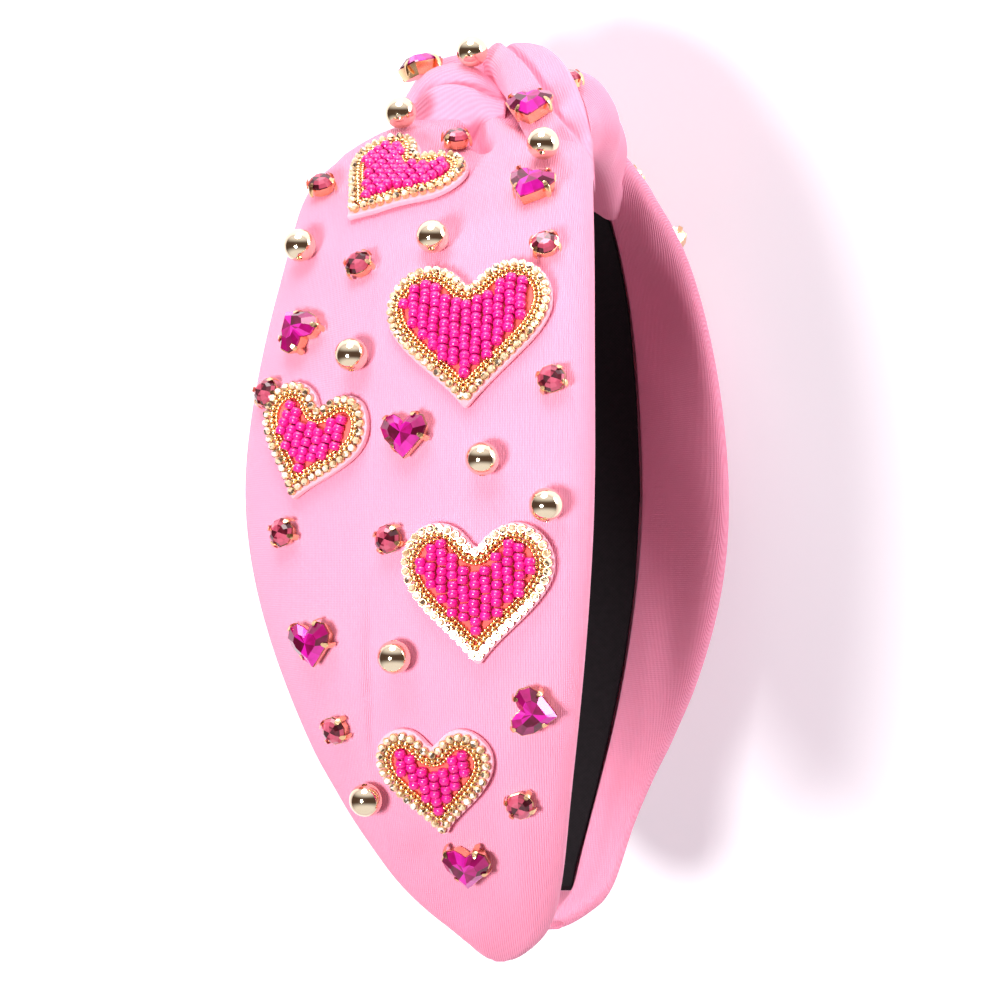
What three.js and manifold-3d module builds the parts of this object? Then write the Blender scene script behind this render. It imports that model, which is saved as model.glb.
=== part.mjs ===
// Knotted headband of ribbed knit, sewn with beaded hearts, cut stones and gold balls
// Millimetres, +Z up, lying on its flank with one arm on the floor and the other above it
import * as THREE from 'three';
import { mergeVertices } from 'three/addons/utils/BufferGeometryUtils.js';
import Module from 'manifold-3d';

const wasm = await Module();
wasm.setup();

// Arch: three tangent arcs a side, from the crown to the tip
const crownRadius = 62;
const crownAngle = 76;
const flankRadius = 125;
const flankAngle = 28;
const lowerRadius = 100;
const lowerAngle = 24;

// Band with its lining
const bandHalfWidth = 16.4;
const bandThickness = 2;
const bandSetback = 2.2;

// Knit sleeve on each arm
const looseNear = 44.6;
const looseFar = 35.7;
const tightReach = 21;
const skinRise = 8.6;
const skinRadius = 103;
const coverWall = 1.8;
const looseRim = 3;
const leastRim = 1.8;
const tipOverhang = 6;
const neckStart = 5;
const creaseDepth = 3.2;
const creasePlace = 4.5;
const creaseWidth = 4.5;
const gatherDepth = 0.7;
const gatherPitch = 10.5;
const dentDepth = 1.3;
const gap = 0.35;

// Knot on the crown
const strapHalfWidth = 6.4;
const strapSpan = 37;
const strapTop = 21;
const strapThickness = 12;
const strapLean = 0.33;
const strapFold = 1.1;
const loopThicknessNear = 6;
const loopThicknessFar = 4.8;
const loopSpan = 23;
const loopOverlap = 7;

// Sewn pieces
const ballDiameter = 6;
const heartStoneWidth = 8.6;
const heartStoneHeight = 4.2;
const roundStoneDiameter = 5.4;
const roundStoneHeight = 3.3;
const feltThickness = 1.1;
const beadHeight = 1.9;
const chainWidth = 3.4;
const feltBorder = 1.1;

// How it lies: turned about the floor's X, then about its Y, and lifted onto the floor
const lyingTilt = 19.7;
const lyingTurn = 12.5;

const rad = THREE.MathUtils.degToRad;
const armLength = crownRadius * rad(crownAngle) + flankRadius * rad(flankAngle) + lowerRadius * rad(lowerAngle);
const sleeveLength = armLength + tipOverhang;
const halfBand = bandThickness / 2;

// Columns along the sleeve, as shares of the sizes named above
const ARM = {
  along: [0.026, 0.063, 0.094, 0.136, 0.188, 0.25, 0.324, 0.418, 0.523, 0.617, 0.7, 0.774, 0.837, 0.889, 0.931, 0.962,
    0.983, 1],
  near: [0.386, 0.395, 0.453, 0.713, 0.834, 0.852, 0.913, 0.964, 1, 0.957, 0.859, 0.74, 0.61, 0.478, 0.348, 0.2, 0.13,
    0.07],
  far: [0.4, 0.42, 0.47, 0.61, 0.71, 0.81, 0.9, 0.97, 1, 0.96, 0.85, 0.7, 0.535, 0.43, 0.39, 0.34, 0.23, 0.1],
  tight: [0.69, 0.7, 0.74, 0.82, 0.86, 0.9, 0.955, 0.985, 1, 0.965, 0.89, 0.8, 0.71, 0.645, 0.565, 0.46, 0.31, 0.14],
  band: [0.74, 0.74, 0.74, 0.75, 0.8, 0.87, 0.94, 0.985, 1, 0.92, 0.79, 0.64, 0.48, 0.36, 0.27, 0.24, 0.05, 0.01],
  rise: [0.93, 0.93, 0.93, 0.96, 1, 1, 1, 1, 1, 1, 0.96, 0.9, 0.82, 0.74, 0.64, 0.53, 0.42, 0.28],
  droop: [0, 0, 0.05, 0.4, 0.7, 0.9, 1, 1, 1, 1, 1, 1, 1, 1, 1, 1, 1, 1],
  gather: [0, 0, 0.2, 0.8, 0.75, 0.3, 0.05, 0, 0, 0, 0, 0, 0, 0, 0, 0, 0, 0],
};

// Value of a column at a share of the sleeve, on a smooth curve through its rows
function column(name, share) {
  const xs = ARM.along;
  const ys = ARM[name];
  const t = THREE.MathUtils.clamp(share, xs[0], 1);
  let i = 0;
  while (i < xs.length - 2 && t > xs[i + 1]) i += 1;
  const slope = (k) => {
    if (k === 0 || k === xs.length - 1) return 0;
    const before = (ys[k] - ys[k - 1]) / (xs[k] - xs[k - 1]);
    const after = (ys[k + 1] - ys[k]) / (xs[k + 1] - xs[k]);
    return before * after <= 0 ? 0 : (2 * before * after) / (before + after);
  };
  const h = xs[i + 1] - xs[i];
  const u = (t - xs[i]) / h;
  const a = ys[i] * (1 + 2 * u) * (1 - u) ** 2 + ys[i + 1] * u * u * (3 - 2 * u);
  return a + h * (slope(i) * u * (1 - u) ** 2 - slope(i + 1) * u * u * (1 - u));
}

// Arch height, side reach and normal angle at a length from the crown
const archDrop = (() => {
  const a = rad(crownAngle);
  const b = a + rad(flankAngle);
  const c = b + rad(lowerAngle);
  return crownRadius * (1 - Math.cos(a)) + flankRadius * (Math.cos(a) - Math.cos(b))
    + lowerRadius * (Math.cos(b) - Math.cos(c));
})();

function arch(length) {
  const arcs = [[crownRadius, crownAngle], [flankRadius, flankAngle], [lowerRadius, lowerAngle]];
  let angle = 0;
  let y = archDrop;
  let z = 0;
  let left = Math.abs(length);
  arcs.forEach(([radius, degrees], i) => {
    const last = i === arcs.length - 1;
    const run = last ? left : Math.min(left, radius * rad(degrees));
    const next = angle + run / radius;
    y += radius * (Math.cos(next) - Math.cos(angle));
    z += radius * (Math.sin(next) - Math.sin(angle));
    angle = next;
    left -= run;
  });
  return { y, z, angle };
}

// Point at s along the arch (near arm positive), x across it and v outwards from it
function onArch(s, x, v) {
  const side = s < 0 ? -1 : 1;
  const { y, z, angle } = arch(s);
  return new THREE.Vector3(x, y + v * Math.cos(angle), side * (z + v * Math.sin(angle)));
}

// Outer skin height at w across the sleeve, w towards the loose edge
function skinHeight(s, w) {
  const share = s / sleeveLength;
  const tight = tightReach * column('tight', share);
  const gather = column('gather', share);
  const crest = w + 0.8 * tight;
  const drop = column('droop', share) * (crest > 0 ? crest * crest : 0) / (2 * skinRadius);
  const crease = creaseDepth * Math.exp(-(((w - creasePlace) / creaseWidth) ** 2));
  const ripple = gatherDepth * (1 - Math.cos((2 * Math.PI * (w - creasePlace)) / gatherPitch));
  return skinRise * column('rise', share) - drop - gather * (crease + ripple);
}

const looseAt = (s, side) => (side > 0 ? looseNear * column('near', s / sleeveLength)
  : looseFar * column('far', s / sleeveLength));

// Facets round each rim and across the skin
const rimSteps = 3;
const skinSteps = 9;

// Outline of the sleeve from one edge of the band round to the other, and the wall that it can hold
function sleeveOutline(s, side) {
  const share = s / sleeveLength;
  const tight = tightReach * column('tight', share);
  const loose = looseAt(s, side);
  const edge = bandHalfWidth * column('band', share) + gap;
  const tightRim = (skinHeight(s, -tight) + halfBand) / 2;
  const path = [[-edge, -halfBand]];
  const tightCentre = -Math.max(tight - tightRim, edge + 0.1);
  const tightBulge = Math.max(tight + tightCentre, leastRim);
  for (let i = 0; i <= rimSteps; i += 1) {
    const a = -Math.PI / 2 - (Math.PI * i) / rimSteps;
    path.push([tightCentre + tightBulge * Math.cos(a), -halfBand + tightRim + tightRim * Math.sin(a)]);
  }
  const step = 0.5;
  const rim = Math.min(looseRim + (1 - column('droop', share)) * 1.2, tightRim);
  const reach = loose - rim;
  const slope = Math.atan((skinHeight(s, reach - step) - skinHeight(s, reach + step)) / (2 * step));
  const end = loose - rim + rim * Math.sin(slope);
  for (let i = 1; i <= skinSteps; i += 1) {
    const w = tightCentre + ((end - tightCentre) * i) / skinSteps;
    path.push([w, skinHeight(s, w)]);
  }
  const cw = end - rim * Math.sin(slope);
  const cv = skinHeight(s, end) - rim * Math.cos(slope);
  const toCentre = Math.atan2(cv + halfBand, cw - edge);
  const distance = Math.hypot(cw - edge, cv + halfBand);
  const line = toCentre - Math.asin(Math.min(1, rim / distance));
  const from = Math.PI / 2 - slope;
  const to = line - Math.PI / 2;
  for (let i = 1; i <= rimSteps; i += 1) {
    const a = from + ((to - from) * i) / rimSteps;
    path.push([cw + rim * Math.cos(a), cv + rim * Math.sin(a)]);
  }
  const [rw, rv] = path[path.length - 1];
  for (let i = 1; i <= 2; i += 1) {
    const u = i / 3;
    const dent = dentDepth * Math.sin(Math.PI * u) * Math.sin((s / sleeveLength) * 21 + i) * column('droop', share);
    path.push([rw + (edge - rw) * u, rv + (-halfBand - rv) * u + Math.min(1, (rw - edge) / 9) * dent]);
  }
  path.push([edge, -halfBand]);
  return { path, edge, wall: Math.min(coverWall, 0.6 * tightRim, 0.6 * tightBulge, 0.6 * rim) };
}

// An outline moved inwards, square to itself
function inset(path, distance) {
  return path.map(([w, v], i) => {
    const a = path[Math.max(0, i - 1)];
    const b = path[Math.min(path.length - 1, i + 1)];
    const n = Math.hypot(b[0] - a[0], b[1] - a[1]);
    return [w + (distance * (b[1] - a[1])) / n, v - (distance * (b[0] - a[0])) / n];
  });
}

// Section of the sleeve's wall, kept clear of the band between its edges
function sleeveSection(s, side) {
  const { path, edge, wall } = sleeveOutline(s, side);
  const inner = inset(path, wall).map(([w, v]) => (v < halfBand + gap && Math.abs(w) < edge
    ? [Math.sign(w) * (edge + 0.1), v] : [w, v]));
  inner[0] = [-edge, wall - halfBand];
  inner[inner.length - 1] = [edge, wall - halfBand];
  return path.concat(inner.reverse());
}

// Closed body lofted through rings of points, its ends capped
function loft(rings) {
  const count = rings[0].length;
  const positions = [];
  const index = [];
  rings.forEach((ring) => ring.forEach((p) => positions.push(p.x, p.y, p.z)));
  for (let i = 0; i + 1 < rings.length; i += 1) {
    for (let j = 0; j < count; j += 1) {
      const a = i * count + j;
      const b = i * count + ((j + 1) % count);
      index.push(a, b, b + count, a, b + count, a + count);
    }
  }
  [[0, true], [rings.length - 1, false]].forEach(([i, flip]) => {
    capFaces(rings[i]).forEach(([a, b, c]) => {
      const base = i * count;
      if (flip) index.push(base + c, base + b, base + a);
      else index.push(base + a, base + b, base + c);
    });
  });
  return outward(positions, index);
}

// Triangles that close a ring, found in the plane that it lies in
function capFaces(ring) {
  const normal = new THREE.Vector3();
  ring.forEach((p, i) => {
    const q = ring[(i + 1) % ring.length];
    normal.add(new THREE.Vector3().crossVectors(p, q));
  });
  normal.normalize();
  const across = new THREE.Vector3().subVectors(ring[1], ring[0]);
  across.addScaledVector(normal, -across.dot(normal)).normalize();
  const up = new THREE.Vector3().crossVectors(normal, across);
  const flat = ring.map((p) => new THREE.Vector2(p.dot(across), p.dot(up)));
  return THREE.ShapeUtils.triangulateShape(flat, []);
}

// Geometry with its faces out, whichever way its rings ran
function outward(positions, index) {
  let volume = 0;
  const at = (i) => new THREE.Vector3(positions[3 * i], positions[3 * i + 1], positions[3 * i + 2]);
  for (let i = 0; i < index.length; i += 3) {
    volume += at(index[i]).dot(new THREE.Vector3().crossVectors(at(index[i + 1]), at(index[i + 2])));
  }
  const faces = volume < 0 ? index.slice().reverse() : index;
  const geometry = new THREE.BufferGeometry();
  geometry.setAttribute('position', new THREE.Float32BufferAttribute(positions, 3));
  geometry.setIndex(faces);
  return geometry;
}

// Geometry of one piece less another
function cut(geometry, tools) {
  const solid = (g) => {
    const bare = new THREE.BufferGeometry();
    bare.setAttribute('position', g.getAttribute('position').clone());
    if (g.index) bare.setIndex(g.index.clone());
    const merged = mergeVertices(bare, 1e-5);
    return new wasm.Manifold(new wasm.Mesh({
      numProp: 3, vertProperties: merged.attributes.position.array, triVerts: new Uint32Array(merged.index.array),
    }));
  };
  const mesh = tools.reduce((body, tool) => body.subtract(solid(tool)), solid(geometry)).getMesh();
  const result = new THREE.BufferGeometry();
  result.setAttribute('position', new THREE.Float32BufferAttribute(mesh.vertProperties, 3));
  result.setIndex(new THREE.Uint32BufferAttribute(mesh.triVerts, 1));
  return result;
}

// Lengths along an arm at which sections stand
const stationStep = 10.2;
function stations(from, to) {
  const count = Math.round((to - from) / stationStep);
  return Array.from({ length: count + 1 }, (_, i) => from + ((to - from) * i) / count);
}

const tipRows = ARM.along.slice(-4).map((share) => share * sleeveLength);
const sleeveStations = stations(neckStart, tipRows[0]).concat(tipRows.slice(1));

// Sleeve of one arm
function sleeve(side) {
  return loft(sleeveStations.map((s) => sleeveSection(s, side).map(([w, v]) => onArch(side * s, -side * w, v))));
}

// How far from the crown the knot can meet the sleeves
const neckReach = 60;

// Room that the neck of a sleeve and the band in it take up beneath the knot
function neckRoom(side) {
  const lengths = [neckStart - gap].concat(sleeveStations.filter((s) => s > neckStart && s < neckReach));
  return loft(lengths.map((s) => inset(sleeveOutline(s, side).path, -gap)
    .map(([w, v]) => onArch(side * s, -side * w, v))));
}

// Band from tip to tip, its edges facing the sleeves' edges
function band() {
  const bandEnd = armLength - bandSetback;
  const arm = sleeveStations.filter((s) => s < bandEnd - 1).concat([bandEnd]);
  const lengths = arm.slice().reverse().map((s) => -s).concat([0], arm);
  const edgeRound = bandThickness * 0.3;
  return loft(lengths.map((s) => {
    const half = bandHalfWidth * column('band', Math.abs(s) / sleeveLength);
    return [[-half, -halfBand], [half, -halfBand], [half - edgeRound, halfBand], [-half + edgeRound, halfBand]]
      .map(([x, v]) => onArch(s, x, v));
  }));
}

// Strap over the crown, leaning from one arm's tight edge to the other's
function strap(clearance) {
  const rows = [0, 0.22, 0.43, 0.6, 0.75, 0.88, 1];
  const top = [1, 0.95, 0.82, 0.68, 0.55, 0.49, 0.46];
  const wide = [1, 1.02, 1.06, 1.05, 0.9, 0.66, 0.35];
  const thick = [1, 0.94, 0.73, 0.5, 0.31, 0.15, 0.08];
  const lengths = rows.slice(1).reverse().map((r) => -r).concat(rows);
  return loft(lengths.map((r) => {
    const i = rows.indexOf(Math.abs(r));
    const s = r * (strapSpan + clearance);
    const half = strapHalfWidth * wide[i] + clearance;
    const height = strapThickness * thick[i];
    const high = strapTop * top[i];
    const mid = high - height / 2;
    const points = 14;
    return Array.from({ length: points }, (_, k) => {
      const a = (2 * Math.PI * k) / points;
      const across = half * Math.cos(a);
      const fold = strapFold * thick[i] * Math.exp(-(((Math.cos(a) - 0.25 * Math.sign(r + 1e-6)) / 0.22) ** 2));
      const up = Math.sign(Math.sin(a)) * Math.abs(Math.sin(a)) ** 0.7;
      const v = mid + (height / 2 + clearance) * up - (up > 0 && clearance === 0 ? fold : 0);
      return onArch(s, strapLean * s + across, v);
    });
  }));
}

// Pleated loop round one side of the crown, over the top and back beneath the band
function loop(side) {
  const neck = side > 0 ? looseNear * ARM.near[0] : tightReach * ARM.tight[0];
  const thickness = side > 0 ? loopThicknessNear : loopThicknessFar;
  const over = skinRise * ARM.rise[2] + gap;
  const under = -halfBand - gap;
  // Across the neck, height between under and over, first and last length, thickness
  const PATH = {
    across: [0.02, 0.2, 0.45, 0.74, 0.95, 1.03, 0.96, 0.72, 0.3, -0.1, -0.36, -0.56],
    height: [1, 1, 1, 0.98, 0.74, 0.42, 0, 0, 0, 0, 0, 0],
    first: [1, 1, 1, 1.1, 1.2, 1.25, 1, 0, 0, 0, 0, 0],
    last: [1, 1, 0.95, 0.88, 0.85, 0.86, 0.9, 1.05, 1.2, 1.25, 1.25, 1.25],
    thick: [0.25, 0.5, 0.95, 1, 0.8, 0.7, 0.6, 0.48, 0.44, 0.44, 0.42, 0.25],
  };
  const PLEATS = {
    from: [0, 0.44, 0.72], to: [0.44, 0.72, 1], height: side > 0 ? [1.9, 1.05, 0.6] : [1.3, 1.2, 0.85],
  };
  const inner = PATH.across.map((a, i) => [neck * a, under + (over - under) * PATH.height[i]]);
  const across = 11;
  const rings = inner.map(([w, v], i) => {
    const a = inner[Math.max(0, i - 1)];
    const b = inner[Math.min(inner.length - 1, i + 1)];
    const n = Math.hypot(b[0] - a[0], b[1] - a[1]);
    const nw = -(b[1] - a[1]) / n;
    const nv = (b[0] - a[0]) / n;
    const first = gap / 2 - PATH.first[i] * loopOverlap;
    const last = PATH.last[i] * loopSpan;
    const pleated = Math.min(1, Math.max(0, PATH.height[i] * 1.4));
    const outer = [];
    const lower = [];
    for (let k = 0; k <= across; k += 1) {
      const p = k / across;
      const j = PLEATS.from.findIndex((f, m) => p >= f && p <= PLEATS.to[m] + 1e-9);
      const q = (p - PLEATS.from[j]) / (PLEATS.to[j] - PLEATS.from[j]);
      const hump = PLEATS.height[j] * (0.55 + 0.45 * Math.sin(Math.PI * q) ** 0.6);
      const rounded = Math.min(1, Math.sin(Math.PI * p) ** 0.5 + 0.25);
      const t = thickness * PATH.thick[i] * (pleated * hump + (1 - pleated) * 0.9) * rounded;
      const s = first + (last - first) * p;
      outer.push([s, w + nw * t, v + nv * t]);
      lower.push([s, w, v]);
    }
    return outer.concat(lower.reverse()).map(([s, x, h]) => onArch(side * s, -side * x, h));
  });
  return loft(rings);
}

// Shares of a heart's width: in its waves across and up, and from their middle to its own
const HEART = { across: [0.125, 0.375], up: [0.427, -0.131, -0.053, -0.026], middle: 0.081 };

// Heart outline of width 1 about its middle, tip down, as x and y at t round it
function heart(t) {
  const x = HEART.across[0] * Math.sin(t) + HEART.across[1] * Math.sin(t) ** 3;
  const y = HEART.up.reduce((sum, height, i) => sum + height * Math.cos((i + 1) * t), HEART.middle);
  return [x, y];
}

// Sewn patches on either arm: length along it, place across it, width, turn to the right in degrees
const PATCH_NAMES = ['crown', 'large', 'side', 'middle', 'tip'];
const NEAR_PATCHES = {
  along: [41.5, 77, 93.5, 120, 152], across: [18.6, 1.9, 30.4, -0.2, 8], width: [25, 30, 22.5, 27, 21.5], turn: [40, 0, 18, 0, -4],
};
const FAR_PATCHES = {
  along: [39, 113, 76, 141, 165], across: [11.5, 2, -10, 2, 3], width: [24, 30, 19, 24, 18], turn: [30, 0, -14, 8, 0],
};
const patchPoints = 14;
const patchLift = gap + 0.15;
const beadLift = gap + 0.32;

// Disc of heart shaped rings on the skin: its lower rings, then its upper rings, as size and height
function patchBody(row, side, lower, upper) {
  const rows = side > 0 ? NEAR_PATCHES : FAR_PATCHES;
  const s0 = rows.along[row];
  const w0 = rows.across[row];
  const probe = rows.width[row] / 9;
  const tilt = Math.atan((skinHeight(s0, w0 - probe) - skinHeight(s0, w0 + probe)) / (2 * probe));
  const turn = rad(rows.turn[row]);
  const at = (hx, hy, height) => {
    const right = hx * Math.cos(turn) + hy * Math.sin(turn);
    const up = hy * Math.cos(turn) - hx * Math.sin(turn);
    const s = s0 - up;
    const w = w0 - right * Math.cos(tilt);
    return onArch(side * s, -side * w, skinHeight(s, w) + height / Math.cos(tilt));
  };
  const positions = [];
  const index = [];
  const rings = lower.concat(upper);
  rings.forEach(([size, height]) => {
    for (let k = 0; k < patchPoints; k += 1) {
      const [hx, hy] = heart((2 * Math.PI * (k + 0.5)) / patchPoints);
      positions.push(...at(hx * size, hy * size, height).toArray());
    }
  });
  const first = rings.length * patchPoints;
  positions.push(...at(0, 0, lower[0][1]).toArray(), ...at(0, 0, upper[upper.length - 1][1]).toArray());
  for (let i = 0; i + 1 < rings.length; i += 1) {
    for (let k = 0; k < patchPoints; k += 1) {
      const a = i * patchPoints + k;
      const b = i * patchPoints + ((k + 1) % patchPoints);
      index.push(a, b, b + patchPoints, a, b + patchPoints, a + patchPoints);
    }
  }
  for (let k = 0; k < patchPoints; k += 1) {
    const next = (k + 1) % patchPoints;
    const last = (rings.length - 1) * patchPoints;
    index.push(first, next, k, first + 1, last + k, last + next);
  }
  return outward(positions, index);
}

function felt(row) {
  const width = NEAR_PATCHES.width[row];
  const low = patchLift;
  const high = low + feltThickness;
  return patchBody(row, 1, [[width * 0.5, low], [width, low]], [[width, high], [width * 0.5, high]]);
}

function beadwork(row) {
  const width = NEAR_PATCHES.width[row] - 2 * feltBorder;
  const inside = width - 2 * chainWidth;
  const low = patchLift + feltThickness + beadLift;
  const high = low + beadHeight;
  return patchBody(row, 1, [[inside * 0.5, low], [width, low]],
    [[width, high - 0.5], [(width + inside) / 2, high], [inside, high - 0.4], [inside * 0.5, high - 0.4]]);
}

// Felt and beadwork in one, on the arm that it lies on
function lyingPatch(row) {
  const width = FAR_PATCHES.width[row];
  const edge = width - 2 * feltBorder;
  const inside = edge - 2 * chainWidth;
  const low = patchLift;
  const high = low + feltThickness + beadLift + beadHeight;
  return patchBody(row, -1, [[inside * 0.6, low], [width, low]],
    [[width, low + feltThickness], [edge, high - 0.5], [inside, high - 0.4], [inside * 0.5, high - 0.4]]);
}

// Cut stones and balls, standing on the floor of their own frame
function heartStone() {
  const points = 12;
  const rows = [[0.8, 0], [1, 1.5], [1, 2.5], [0.58, heartStoneHeight]];
  return loft(rows.map(([size, z]) => Array.from({ length: points }, (_, k) => {
    const [hx, hy] = heart((2 * Math.PI * (k + 0.5)) / points);
    return new THREE.Vector3(hx * size * heartStoneWidth, hy * size * heartStoneWidth, z);
  })));
}

function roundStone() {
  const r = roundStoneDiameter / 2;
  const profile = [[0, 0], [r * 0.78, 0], [r, 1.3], [r * 0.97, 2], [r * 0.5, roundStoneHeight], [0, roundStoneHeight]];
  return new THREE.LatheGeometry(profile.map(([x, y]) => new THREE.Vector2(x, y)), 8).rotateX(Math.PI / 2);
}

function ball() {
  const r = ballDiameter / 2;
  return new THREE.SphereGeometry(r, 10, 6).rotateX(Math.PI / 2).translate(0, 0, r);
}

const material = (color, roughness, metalness) => new THREE.MeshStandardMaterial({ color, roughness, metalness });
const LOOKS = {
  knit: material(0xf7a9cb, 0.85, 0),
  lining: material(0x141214, 0.9, 0),
  felt: material(0xf6c9d6, 0.9, 0),
  beads: material(0xe0188c, 0.3, 0.1),
  heart: material(0xb0107e, 0.1, 0.1),
  round: material(0xc0506c, 0.15, 0.1),
  ball: material(0xe8cf9a, 0.2, 1),
};

const headband = new THREE.Group();
function add(name, geometry, look) {
  const mesh = new THREE.Mesh(geometry, LOOKS[look]);
  mesh.name = name;
  headband.add(mesh);
  return mesh;
}

add('inner_band', band(), 'lining');
const looseStrap = strap(gap);
const necks = [neckRoom(1), neckRoom(-1)];
const fabric = [
  add('cover_near', sleeve(1), 'knit'),
  add('cover_far', sleeve(-1), 'knit'),
  add('knot_strap', strap(0), 'knit'),
  add('knot_loop_near', cut(loop(1), [looseStrap, ...necks]), 'knit'),
  add('knot_loop_far', cut(loop(-1), [looseStrap, ...necks]), 'knit'),
];
PATCH_NAMES.forEach((name, row) => {
  add(`felt_${name}_near`, felt(row), 'felt');
  add(`beads_${name}_near`, beadwork(row), 'beads');
  add(`patch_${name}_far`, lyingPatch(row), 'beads');
});

// Cut stones and balls of the near arm and the knot: length along the arm, place across it and turn
const NEAR = {
  heart: { along: [5.5, 29.8, 50.5, 71, 94, 129, 139, 167], across: [16.2, -5.8, -7.7, 33, 12.1, 29.2, -9.9, 3.3],
    turn: [0, 0, 20, 150, 0, -8, -80, 0] },
  round: { along: [30, 38.8, 61.5, 62.5, 85.5, 82.8, 109.5, 111, 144, 155, 6.8],
    across: [8.3, 32.1, 22.4, -11.2, -13.2, 38.8, 35, 15.2, 25.8, -6.6, -10.1] },
  ball: { along: [9.5, 23.6, 40.8, 54, 59.5, 79, 98.5, 106, 130.5, 155.5],
    across: [9, 19.2, -9.3, 33.2, 8.7, 21.7, -1.7, -12.5, 13.9, 20.2] },
};

// The same for the far arm, on three of whose balls the headband rests
const FAR = {
  heart: { along: [48, 112, 128], across: [23.5, 25, 20], turn: [15, -10, 20] },
  round: { along: [78, 62, 101], across: [27, 29, -15] },
  ball: { along: [63, 61, 91, 93], across: [20, -3, 21, -3] },
};
const FOOT = { heart: 3.2, round: 2.1, ball: 0.8 };
const BODY = { heart: heartStone, round: roundStone, ball };
const RAISED = { heart: 0, round: 0, ball: -0.2 };

// Where a stone sits: the cloth under its foot, met by rays, and raised clear of it
const caster = new THREE.Raycaster();
function seat(s, x, foot) {
  headband.updateMatrixWorld(true);
  const far = 70;
  const normal = onArch(s, x, far).sub(onArch(s, x, 0)).normalize();
  const centre = onArch(s, x, far);
  const hit = (point) => {
    caster.set(point, normal.clone().negate());
    const found = caster.intersectObjects(fabric, false)[0];
    return found ? found.point : null;
  };
  const up = onArch(s - 1, x, far).sub(onArch(s + 1, x, far)).multiplyScalar(s < 0 ? -1 : 1).normalize();
  const right = new THREE.Vector3().crossVectors(up, normal);
  const sample = (a, b) => hit(centre.clone().addScaledVector(right, a).addScaledVector(up, b));
  const [east, west, north, south] = [[foot, 0], [-foot, 0], [0, foot], [0, -foot]].map(([a, b]) => sample(a, b));
  const middle = sample(0, 0);
  const across = new THREE.Vector3().subVectors(east || middle, west || middle);
  const along = new THREE.Vector3().subVectors(north || middle, south || middle);
  const out = new THREE.Vector3().crossVectors(across, along).normalize();
  let lift = 0;
  for (let k = 0; k < 8; k += 1) {
    [0.5, 1].forEach((r) => {
      const p = sample(r * foot * Math.cos((k * Math.PI) / 4), r * foot * Math.sin((k * Math.PI) / 4));
      if (p) lift = Math.max(lift, p.sub(middle).dot(out));
    });
  }
  const upright = along.clone().addScaledVector(out, -along.dot(out)).normalize();
  return { at: middle.addScaledVector(out, lift + gap), out, upright };
}

[[NEAR, 1, 'near'], [FAR, -1, 'far']].forEach(([rows, side, arm]) => {
  Object.keys(rows).forEach((kind) => rows[kind].along.forEach((along, i) => {
    const { at, out, upright } = seat(side * along, -side * rows[kind].across[i], FOOT[kind]);
    const stone = add(`${kind}_${i + 1}_${arm}`, BODY[kind](), kind);
    const right = new THREE.Vector3().crossVectors(upright, out);
    stone.setRotationFromMatrix(new THREE.Matrix4().makeBasis(right, upright, out));
    if (rows[kind].turn) stone.rotateZ(rad(-rows[kind].turn[i]));
    stone.position.copy(at).addScaledVector(out, RAISED[kind]);
  }));
});

// Lie it down, centred over its origin with its lowest point on the floor
headband.rotation.set(rad(-lyingTilt), rad(lyingTurn), 0);
const part = new THREE.Group();
part.add(headband);
part.updateMatrixWorld(true);
const box = new THREE.Box3().setFromObject(part, true);
headband.position.set(-(box.min.x + box.max.x) / 2, -(box.min.y + box.max.y) / 2, -box.min.z);

export default part;
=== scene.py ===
import bmesh
import bpy
from math import atan2, cos, exp, hypot, pi, radians, sin
from mathutils import Matrix, Vector
from mathutils.bvhtree import BVHTree


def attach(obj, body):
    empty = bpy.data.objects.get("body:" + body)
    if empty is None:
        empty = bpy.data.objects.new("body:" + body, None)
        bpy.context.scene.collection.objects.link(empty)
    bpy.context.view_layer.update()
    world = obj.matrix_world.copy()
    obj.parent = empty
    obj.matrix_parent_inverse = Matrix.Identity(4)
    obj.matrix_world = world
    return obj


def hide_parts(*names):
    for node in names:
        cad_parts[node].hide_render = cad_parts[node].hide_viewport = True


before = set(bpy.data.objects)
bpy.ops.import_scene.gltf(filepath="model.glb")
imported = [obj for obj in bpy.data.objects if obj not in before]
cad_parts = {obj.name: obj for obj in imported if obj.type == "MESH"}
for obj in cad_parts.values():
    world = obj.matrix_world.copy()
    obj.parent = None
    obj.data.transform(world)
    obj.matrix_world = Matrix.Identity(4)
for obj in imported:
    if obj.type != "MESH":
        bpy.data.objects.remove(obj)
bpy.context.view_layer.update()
bpy.ops.object.select_all(action="DESELECT")

# The headband is built on a springy flat arch, wide at its sides and narrow at its tips.
# It is covered with black woven lining, glued on, which shows only on the inside of the arch.
mm = 0.001
arcs = [(62 * mm, radians(76)), (125 * mm, radians(28)), (100 * mm, radians(24))]
arm_length = sum(radius * spread for radius, spread in arcs)
sleeve_length = arm_length + 6 * mm
arch_centres = []
lean, swing, resting = radians(-19.7), radians(12.5), Vector((0, -70.183, 99.441)) * mm
lying = Matrix.Translation(resting) @ Matrix.Rotation(lean, 4, "X") @ Matrix.Rotation(swing, 4, "Y")
standing = lying.inverted()


def arch(length):
    """Height, reach to the side and normal angle of the arch at a length from its crown."""
    y, z, angle, left = arch_height, 0.0, 0.0, abs(length)
    for i, (radius, spread) in enumerate(arcs):
        run = left if i == len(arcs) - 1 else min(left, radius * spread)
        following = angle + run / radius
        y += radius * (cos(following) - cos(angle))
        z += radius * (sin(following) - sin(angle))
        angle, left = following, left - run
    return y, z, angle


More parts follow.
